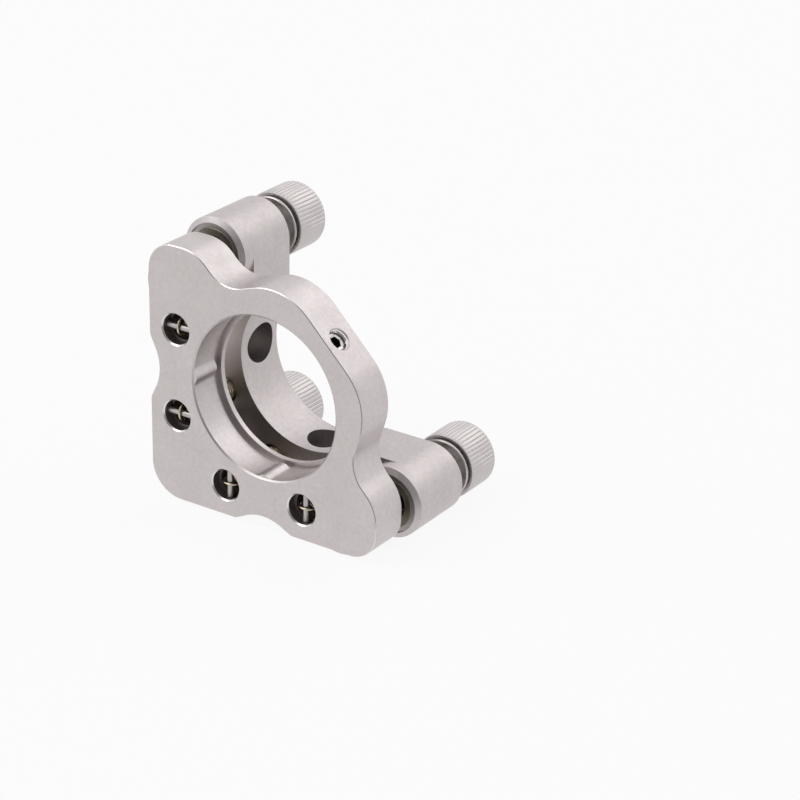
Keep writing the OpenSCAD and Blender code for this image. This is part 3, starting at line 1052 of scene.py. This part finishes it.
class Adjuster:
    """One fine-thread adjuster: ball, screw, knob, bushing and the seat it bears on."""

    def __init__(self, shop: Workshop, station: Station) -> None:
        """Keeps the station and its sizes.

        Args:
            shop: The workshop.
            station: Where the adjuster stands.
        """
        self.shop, self.station = shop, station
        self.knob, self.screw, self.bushing = KnobSizes(), ScrewSizes(), BushingSizes()
        self.foot = station.axis()

    def fit(self, piece: bpy.types.Object, body: str, part: str, slot: str,
            angle: float) -> None:
        """Moves a turned piece's mesh onto this adjuster's axis and hands it over.

        Args:
            piece: The turned piece, with its material.
            body: The body that it rides on.
            part: What the node that it stands for is called after the station.
            slot: The record's material slot.
            angle: The angle over which its edges stay sharp, in degrees.
        """
        self.shop.place(piece, Matrix.Translation(self.foot * MM))
        self.shop.smooth(piece.data, angle)
        self.shop.stands_for(piece, body, f"{self.station.value}_{part}", slot)

    def knob_profile(self) -> list[Ring]:
        """Returns the knob's profile, from the bore's mouth round to the bore's end."""
        k = self.knob
        root = k.barrel - k.groove_depth
        ramp = k.barrel_from + k.barrel_edge
        dish_floor = k.end - k.dish_depth
        rings = [
            Ring(k.start, k.bore), Ring(k.start, k.collar - k.edge),
            Ring(k.start + k.edge, k.collar), Ring(k.neck_from - 0.1, k.collar),
            Ring(k.neck_from, k.collar - 0.1), Ring(k.neck_from, k.neck),
            Ring(k.barrel_from, k.neck), Ring(k.barrel_from, root - k.barrel_edge),
            Ring(ramp, root), Ring(ramp + k.lead, k.barrel, 1.0),
            Ring((k.barrel_from + k.end) / 2, k.barrel, 1.0),
        ]
        for step in range(7):
            turn = math.pi / 2 * step / 6
            y = k.end - k.rear_round * (1 - math.sin(turn))
            r = k.barrel - k.rear_round * (1 - math.cos(turn))
            rings.append(Ring(y, r, min(1.0, max(0.0, (r - root) / k.groove_depth))))
        rings += [
            Ring(k.end, k.dish + 0.12), Ring(k.end - 0.12, k.dish),
            Ring(dish_floor + 0.2, k.dish), Ring(dish_floor, k.dish - 0.2),
            Ring(dish_floor, k.bore + k.edge), Ring(dish_floor - k.edge, k.bore),
        ]
        return rings

    def make_knob(self) -> None:
        """Makes the knurled knob."""
        name = f"{self.station.value}_knurled_knob"
        piece = self.shop.turned(name, self.knob_profile(), self.knob.grooves * 6, closed=True)
        style = TurnedMetal(f"knob steel {self.station.value}", (0.53, 0.5, 0.495), 0.34,
                            foot=self.foot)
        self.shop.cut.run(piece, Grooves=float(self.knob.grooves), Turns_per_metre=0.0,
                          Depth=self.knob.groove_depth * MM, Land=self.knob.land,
                          Finish=self.shop.finish(style))
        self.fit(piece, f"{self.station.value}_adjuster", "knob", "knob_steel", 28)

    def screw_profile(self) -> list[Ring]:
        """Returns the screw's profile, from the ball's cup to the socket's floor."""
        s, b, k = self.screw, self.bushing, self.knob
        cup = s.ball + 0.02
        rings = [Ring(s.ball_y + cup, 0)]
        widest = math.acos((s.nose_from - s.ball_y) / cup)
        for step in range(1, 7):
            turn = widest * step / 6
            rings.append(Ring(s.ball_y + cup * math.cos(turn), cup * math.sin(turn)))
        rings += [Ring(s.nose_from, s.nose - 0.12), Ring(s.nose_from + 0.12, s.nose),
                  Ring(s.thread_from, s.nose), Ring(s.thread_from + 0.02, s.radius - s.lead),
                  Ring(s.thread_from + s.lead, s.radius)]
        rings += thread(b.end - s.hidden, k.start + 0.2, s.radius, s.pitch / 6)
        rings += [Ring(s.end - s.lead, s.radius), Ring(s.end, s.radius - s.lead)]
        return rings + hex_socket(s.end, s.hex_flats, s.hex_depth, 0.12, 0.3, 0.05)

    def make_screw(self) -> None:
        """Makes the threaded screw."""
        name = f"{self.station.value}_threaded_screw"
        piece = self.shop.turned(name, self.screw_profile(), 48)
        style = TurnedMetal(f"screw steel {self.station.value}", (0.5, 0.485, 0.47), 0.28,
                            foot=self.foot, rings=10.0, relief=0.002)
        self.shop.cut.run(piece, Grooves=1.0, Turns_per_metre=1 / (self.screw.pitch * MM),
                          Depth=self.screw.thread_depth * MM, Land=0.0,
                          Finish=self.shop.finish(style))
        self.shop.paint_socket_shade(piece, corner(self.screw.hex_flats), self.screw.end - 0.1)
        self.fit(piece, f"{self.station.value}_adjuster", "screw", "screw_steel", 35)

    def make_bushing(self) -> None:
        """Makes the bronze bushing, with its edges broken."""
        b = self.bushing
        rings = [Ring(b.start, b.bore + b.sink), Ring(b.start, b.outside - b.edge),
                 Ring(b.start + b.edge, b.outside), Ring(b.end - b.edge, b.outside),
                 Ring(b.end, b.outside - b.edge), Ring(b.end, b.bore + b.sink),
                 Ring(b.end - b.sink, b.bore), Ring(b.start + b.sink, b.bore)]
        piece = self.shop.turned(f"{self.station.value}_turned_bushing", rings, 72, closed=True)
        # Bronze given darker and greyer than bronze: partly the metal's colour, partly painted
        # shade of the face seen behind the plate.
        style = TurnedMetal(f"bushing bronze {self.station.value}", (0.3, 0.265, 0.22), 0.32,
                            foot=self.foot)
        piece.data.materials.append(self.shop.finish(style))
        self.fit(piece, "frame", "bushing", "bushing_bronze", 32)

    def build(self) -> None:
        """Makes every piece of the adjuster and dresses its ball and seat."""
        self.make_knob()
        self.make_screw()
        self.make_bushing()
        polished = DrawnMetal("lapped ball steel", (0.66, 0.66, 0.665), 0.09, 0.03, (2, 2, 2))
        ground = DrawnMetal("ground seat steel", (0.52, 0.52, 0.53), 0.2, 0.04, (3, 3, 3))
        self.shop.dress(f"{self.station.value}_ball", polished)
        self.shop.dress(f"{self.station.value}_seat", ground)


@dataclass(frozen=True)
class SpringSizes:
    """The extension spring's sizes, in mm and radians, with y from the plate's front face.

    leave and arrive say how strongly the wire keeps its direction between a loop and the coils,
    and margin is what the end stretches hold of the coils' ends.
    """

    wire: float = 0.225
    coil: float = 1.975
    loop: float = 1.85
    front_loop: float = 2.615
    rear_loop: float = 22.585
    front_coil: float = 5.1
    rear_coil: float = 20.1
    turns: float = 26.0
    steps: int = 20
    loop_steps: int = 30
    join_steps: int = 9
    loop_sweep: float = math.radians(270)
    coil_start: float = math.radians(200)
    leave: float = 2.4
    arrive: float = 2.0
    margin: float = 0.4


class ExtensionSpring:
    """A close-wound spring with a loop at each end, hung between two cross pins."""

    chain = ("frame", "carriage", "pitch_corner_carrier", "pitch_top_carrier",
             "yaw_corner_carrier", "front")

    def __init__(self, shop: Workshop, place: SpringPlace) -> None:
        """Keeps the place and its sizes.

        Args:
            shop: The workshop.
            place: Which of the four holes the spring is in.
        """
        self.shop, self.place, self.size = shop, place, SpringSizes()
        self.foot = place.axis()
        self.along_pin = place.pin_way
        self.across = Vector((0, 1, 0)).cross(self.along_pin)

    def point(self, across: float, y: float, along: float) -> Vector:
        """Returns a point of the row's frame, in mm.

        Args:
            across: Offset at right angles to the pins, in mm.
            y: Place along the spring, in mm.
            along: Offset along the pins, in mm.
        """
        return self.foot + self.across * across + self.along_pin * along + Vector((0, y, 0))

    def hook(self, centre: float, coil_y: float, way: float) -> list[Vector]:
        """Gives the wire of one end, from the loop's tip to where the coils start.

        Args:
            centre: The loop's centre along the spring, in mm.
            coil_y: Where the coils start, in mm.
            way: 1 if the loop lies in front of the coils, -1 if behind.

        Returns:
            The points, loop first.
        """
        s = self.size
        points = []
        for step in range(s.loop_steps + 1):
            turn = s.loop_sweep * step / s.loop_steps
            points.append(self.point(s.loop * math.sin(turn),
                                     centre + way * s.loop * math.cos(turn), 0))
        sine, cosine = math.sin(s.coil_start), math.cos(s.coil_start)
        first, second = points[-1], self.point(s.coil * cosine, coil_y, s.coil * sine)
        leave = Vector((0, 1, 0)) * way * s.leave
        join = (self.across * -sine + self.along_pin * cosine) * s.arrive
        for step in range(1, s.join_steps):
            t = step / s.join_steps
            a, b = 2 * t**3 - 3 * t**2 + 1, t**3 - 2 * t**2 + t
            c, d = -2 * t**3 + 3 * t**2, t**3 - t**2
            points.append(first * a + leave * b + second * c + join * d)
        return points

    def path(self) -> list[Vector]:
        """Returns the whole wire's centre line, from the front loop to the rear loop."""
        s = self.size
        front = self.hook(s.front_loop, s.front_coil, 1)
        rear = self.hook(s.rear_loop, s.rear_coil, -1)
        count = int(s.turns * s.steps)
        coils = []
        for step in range(count + 1):
            share = step / count
            turn = s.coil_start + 2 * math.pi * s.turns * share
            coils.append(self.point(s.coil * math.cos(turn),
                                    s.front_coil + (s.rear_coil - s.front_coil) * share,
                                    s.coil * math.sin(turn)))
        return front + coils + rear[::-1]

    def build(self) -> None:
        """Makes the spring in five stretches, one for each joint that it crosses."""
        s = self.size
        points = self.path()
        count = len(self.chain) - 1
        span = s.rear_coil - s.front_coil - 2 * s.margin
        marks = [s.rear_coil - s.margin - span * k / count for k in range(count + 1)]
        style = DrawnMetal("spring wire", (0.62, 0.53, 0.41), 0.16)
        for k in range(count):
            high = math.inf if k == 0 else marks[k]
            low = -math.inf if k == count - 1 else marks[k + 1]
            inside = [i for i, p in enumerate(points) if low <= p.y <= high]
            first, last = max(0, inside[0] - 1), inside[-1]
            piece_points = [p * MM for p in points[first:last + 1]]
            mesh = bpy.data.meshes.new("wire path")
            mesh.from_pydata(piece_points, [(i, i + 1) for i in range(len(piece_points) - 1)], [])
            piece = self.shop.piece(f"spring_{self.place.label}_coils_{k + 1}", mesh)
            self.shop.wire.run(piece, Wire_radius=s.wire * MM, Sides=10,
                               Finish=self.shop.finish(style))
            self.shop.smooth(piece.data, 50)
            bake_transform(piece)
            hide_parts(f"spring_{self.place.label}")
            log.info("%s: %d faces", piece.name, len(piece.data.polygons))


@dataclass(frozen=True)
class OpticScrewSizes:
    """The set screw's sizes, in mm, counted outwards along its axis."""

    y: float = 3.75
    front: float = 15.9
    rear: float = 18.6
    radius: float = 1.95
    pitch: float = 0.7
    thread_depth: float = 0.4
    pocket: float = 1.25
    pocket_depth: float = 0.8
    hex_flats: float = 2.0
    hex_depth: float = 1.4
    hole: float = 2.02
    mouth: float = 19.38
    chamfer: float = 0.12


class OpticScrew:
    """The soft-tipped set screw at 45 degrees, and the thread of its hole."""

    def __init__(self, shop: Workshop) -> None:
        """Keeps the workshop and the sizes."""
        self.shop, self.size = shop, OpticScrewSizes()

    def stand(self) -> Matrix:
        """Returns the matrix that lays the turning axis along the screw."""
        return (Matrix.Translation((0, self.size.y * MM, 0))
                @ Matrix.Rotation(math.radians(-45), 4, "Y")
                @ Matrix.Rotation(math.radians(-90), 4, "Z"))

    def build(self) -> None:
        """Makes the screw and the hole's thread, and dresses the tip."""
        s = self.size
        rings = [Ring(s.front + s.pocket_depth, 0), Ring(s.front + s.pocket_depth, s.pocket),
                 Ring(s.front, s.pocket), Ring(s.front, s.radius - 0.35)]
        rings += thread(s.front + 0.3, s.rear - s.chamfer, s.radius, s.pitch / 8)
        rings.append(Ring(s.rear, s.radius - s.chamfer))
        rings += hex_socket(s.rear, s.hex_flats, s.hex_depth, 0.15, 0.1, 0.02)
        bright = BlastedMetal("set screw steel", (0.66, 0.63, 0.62), 0.25)
        piece = self.shop.turned("optic_set_screw", rings, 48)
        self.shop.cut.run(piece, Grooves=1.0, Turns_per_metre=1 / (s.pitch * MM),
                          Depth=s.thread_depth * MM, Land=0.12, Finish=self.shop.finish(bright))
        self.shop.paint_socket_shade(piece, corner(s.hex_flats), s.rear - 0.1)
        self.shop.place(piece, self.stand())
        self.shop.smooth(piece.data, 35)
        self.shop.stands_for(piece, "optic_adjuster", "optic_screw", "screw_steel")

        wall = thread(s.rear + 0.05, s.mouth, s.hole - 0.02, s.pitch / 8)
        ends = [Ring(wall[-1].y, s.hole), Ring(wall[0].y, s.hole)]
        tapped = self.shop.turned("optic_screw_tapped_hole", wall + ends, 48, closed=True)
        self.shop.cut.run(tapped, Grooves=1.0, Turns_per_metre=1 / (s.pitch * MM),
                          Depth=s.thread_depth * 0.7 * MM, Land=0.1,
                          Finish=self.shop.finish(CUT_EDGE_WITH_PAINTED_HIGHLIGHT))
        self.shop.place(tapped, self.stand())
        self.shop.smooth(tapped.data, 35)
        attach(tapped, "front")
        self.shop.dress("optic_screw_tip", MouldedNylon())


class CrossPins:
    """The eight dowels that the springs' loops hang on."""

    def __init__(self, shop: Workshop) -> None:
        """Keeps the workshop."""
        self.shop = shop

    def build(self) -> None:
        """Gives each pin its ground finish, with streaks along the pin."""
        for place in SpringPlace:
            lengthways = tuple(0.4 if way else 7.0 for way in place.pin_way)
            style = DrawnMetal(f"ground pin {place.label}", (0.46, 0.44, 0.43), 0.38, 0.2,
                               lengthways)
            for end in ("front", "rear"):
                self.shop.dress(f"{end}_pin_{place.label}", style)


@dataclass(frozen=True)
class Lamp:
    """A soft lamp with a flat face.

    Attributes:
        name: Its name.
        direction: Where it stands, seen from the mount.
        distance: How far off it stands, in m.
        width: Its width, in m.
        height: Its height, in m.
        power: Its power, in W.
    """

    name: str
    direction: tuple[float, float, float]
    distance: float
    width: float
    height: float
    power: float

    def build(self, target: Vector) -> None:
        """Makes the lamp, turned to the target."""
        data = bpy.data.lights.new(self.name, "AREA")
        data.shape, data.energy = "RECTANGLE", self.power
        data.size, data.size_y = self.width, self.height
        made = Workshop.piece(self.name, data)
        way = Vector(self.direction).normalized()
        made.location = target + way * self.distance
        made.rotation_mode = "QUATERNION"
        made.rotation_quaternion = (-way).to_track_quat("-Z", "Y")


class Studio:
    """The floor, the lamps, the world and the camera.

    The lens and the sensor are in mm, the roll in degrees, and lengths in m. opening is the way
    to the tent's open side, opening_edge the cosines between which it fades in, and
    opening_tone how bright it mirrors.
    """

    eye = Vector((245.7, -330.3, 187.8)) * MM
    forward = Vector((-0.499, 0.7609, -0.4148))
    roll = 1.229
    lens = 114.86
    sensor = 36.0
    clip = (0.01, 20.0)
    floor_reach = 4.0
    floor_gap = 0.02 * MM
    world_fill = 0.55
    opening = Vector((0.46, -0.78, 0.42))
    opening_edge = (0.72, 0.9)
    opening_tone = 0.27
    lamps = (
        Lamp("rear lamp", (0.15, 0.76, 0.63), 0.9, 0.8, 0.5, 0.9),
        Lamp("front left lamp", (-0.5, -0.42, 0.76), 0.8, 0.45, 0.45, 1.3),
    )

    def __init__(self, shop: Workshop) -> None:
        """Keeps the workshop."""
        self.shop = shop

    def camera(self) -> None:
        """Makes the camera."""
        data = bpy.data.cameras.new("camera")
        data.lens, data.sensor_width = self.lens, self.sensor
        data.clip_start, data.clip_end = self.clip
        made = Workshop.piece("camera", data)
        look = self.forward.normalized()
        right = look.cross(Vector((0, 0, 1))).normalized()
        up = right.cross(look)
        lean = math.radians(self.roll)
        across = right * math.cos(lean) + up * math.sin(lean)
        upward = up * math.cos(lean) - right * math.sin(lean)
        turn = Matrix((across, upward, -look)).transposed().to_4x4()
        made.matrix_world = Matrix.Translation(self.eye) @ turn
        bpy.context.scene.camera = made

    def floor(self, level: float) -> None:
        """Makes the floor.

        Args:
            level: Its height, in m.
        """
        far, rings, steps = self.floor_reach, 6, 48
        work = bmesh.new()
        middle = work.verts.new((0, 0, level))
        inner: list[bmesh.types.BMVert] = []
        for ring in range(1, rings + 1):
            reach = far * (ring / rings) ** 2
            loop = [work.verts.new((reach * math.cos(2 * math.pi * k / steps),
                                    reach * math.sin(2 * math.pi * k / steps), level))
                    for k in range(steps)]
            for k in range(steps):
                after = (k + 1) % steps
                if inner:
                    work.faces.new((inner[k], loop[k], loop[after], inner[after]))
                else:
                    work.faces.new((middle, loop[k], loop[after]))
            inner = loop
        mesh = bpy.data.meshes.new("floor")
        work.to_mesh(mesh)
        work.free()
        mesh.materials.append(self.shop.finish(TableTop()))
        self.shop.piece("floor", mesh)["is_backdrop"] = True

    def world(self) -> None:
        """Makes the world: white where it is seen, nearly so where it is mirrored.

        Its light on the object is softer, and one patch, the open side of the tent, mirrors
        darker.
        """
        world = bpy.data.worlds.new("studio")
        bpy.context.scene.world = world
        world.use_nodes = True
        tree = NodeTree(world.node_tree)
        tree.tree.nodes.clear()
        path = tree.add("ShaderNodeLightPath").outputs
        way = tree.add("ShaderNodeTexCoord").outputs["Generated"]
        nearness = tree.add("ShaderNodeVectorMath", way, self.opening.normalized(),
                            operation="DOT_PRODUCT").outputs["Value"]
        patch = tree.add("ShaderNodeMapRange", nearness, *self.opening_edge, 1.0,
                         self.opening_tone)
        mirrored, white, soft = (tree.add("ShaderNodeBackground", (1, 1, 1, 1), tone).outputs[0]
                                 for tone in (patch.outputs["Result"], 1.0, self.world_fill))
        shiny = tree.math("MAXIMUM", path["Is Glossy Ray"], path["Is Transmission Ray"])
        lit = tree.add("ShaderNodeMixShader", shiny, soft, mirrored)
        seen = tree.add("ShaderNodeMixShader", path["Is Camera Ray"], lit.outputs[0], white)
        tree.add("ShaderNodeOutputWorld", seen.outputs[0])

    def build(self, low: Vector, high: Vector) -> None:
        """Makes the studio round the mount.

        Args:
            low: The mount's lowest corner, in m.
            high: Its highest corner, in m.
        """
        self.camera()
        self.floor(low.z - self.floor_gap)
        self.world()
        for lamp in self.lamps:
            lamp.build((low + high) / 2)
        bpy.context.scene.view_settings.view_transform = "Standard"
        log.info("studio: %d lamps", len(self.lamps))


def main() -> None:
    """Builds the mount's looks and the studio."""
    logging.basicConfig(level=logging.INFO, format="%(message)s")
    low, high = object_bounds()
    shop = Workshop()
    FrontPlate(shop, "front_plate", "front").build()
    RearFrame(shop, "frame", "frame").build()
    for station in Station:
        Adjuster(shop, station).build()
    for place in SpringPlace:
        ExtensionSpring(shop, place).build()
    CrossPins(shop).build()
    OpticScrew(shop).build()
    Studio(shop).build(low, high)


if __name__ == "__main__":
    main()
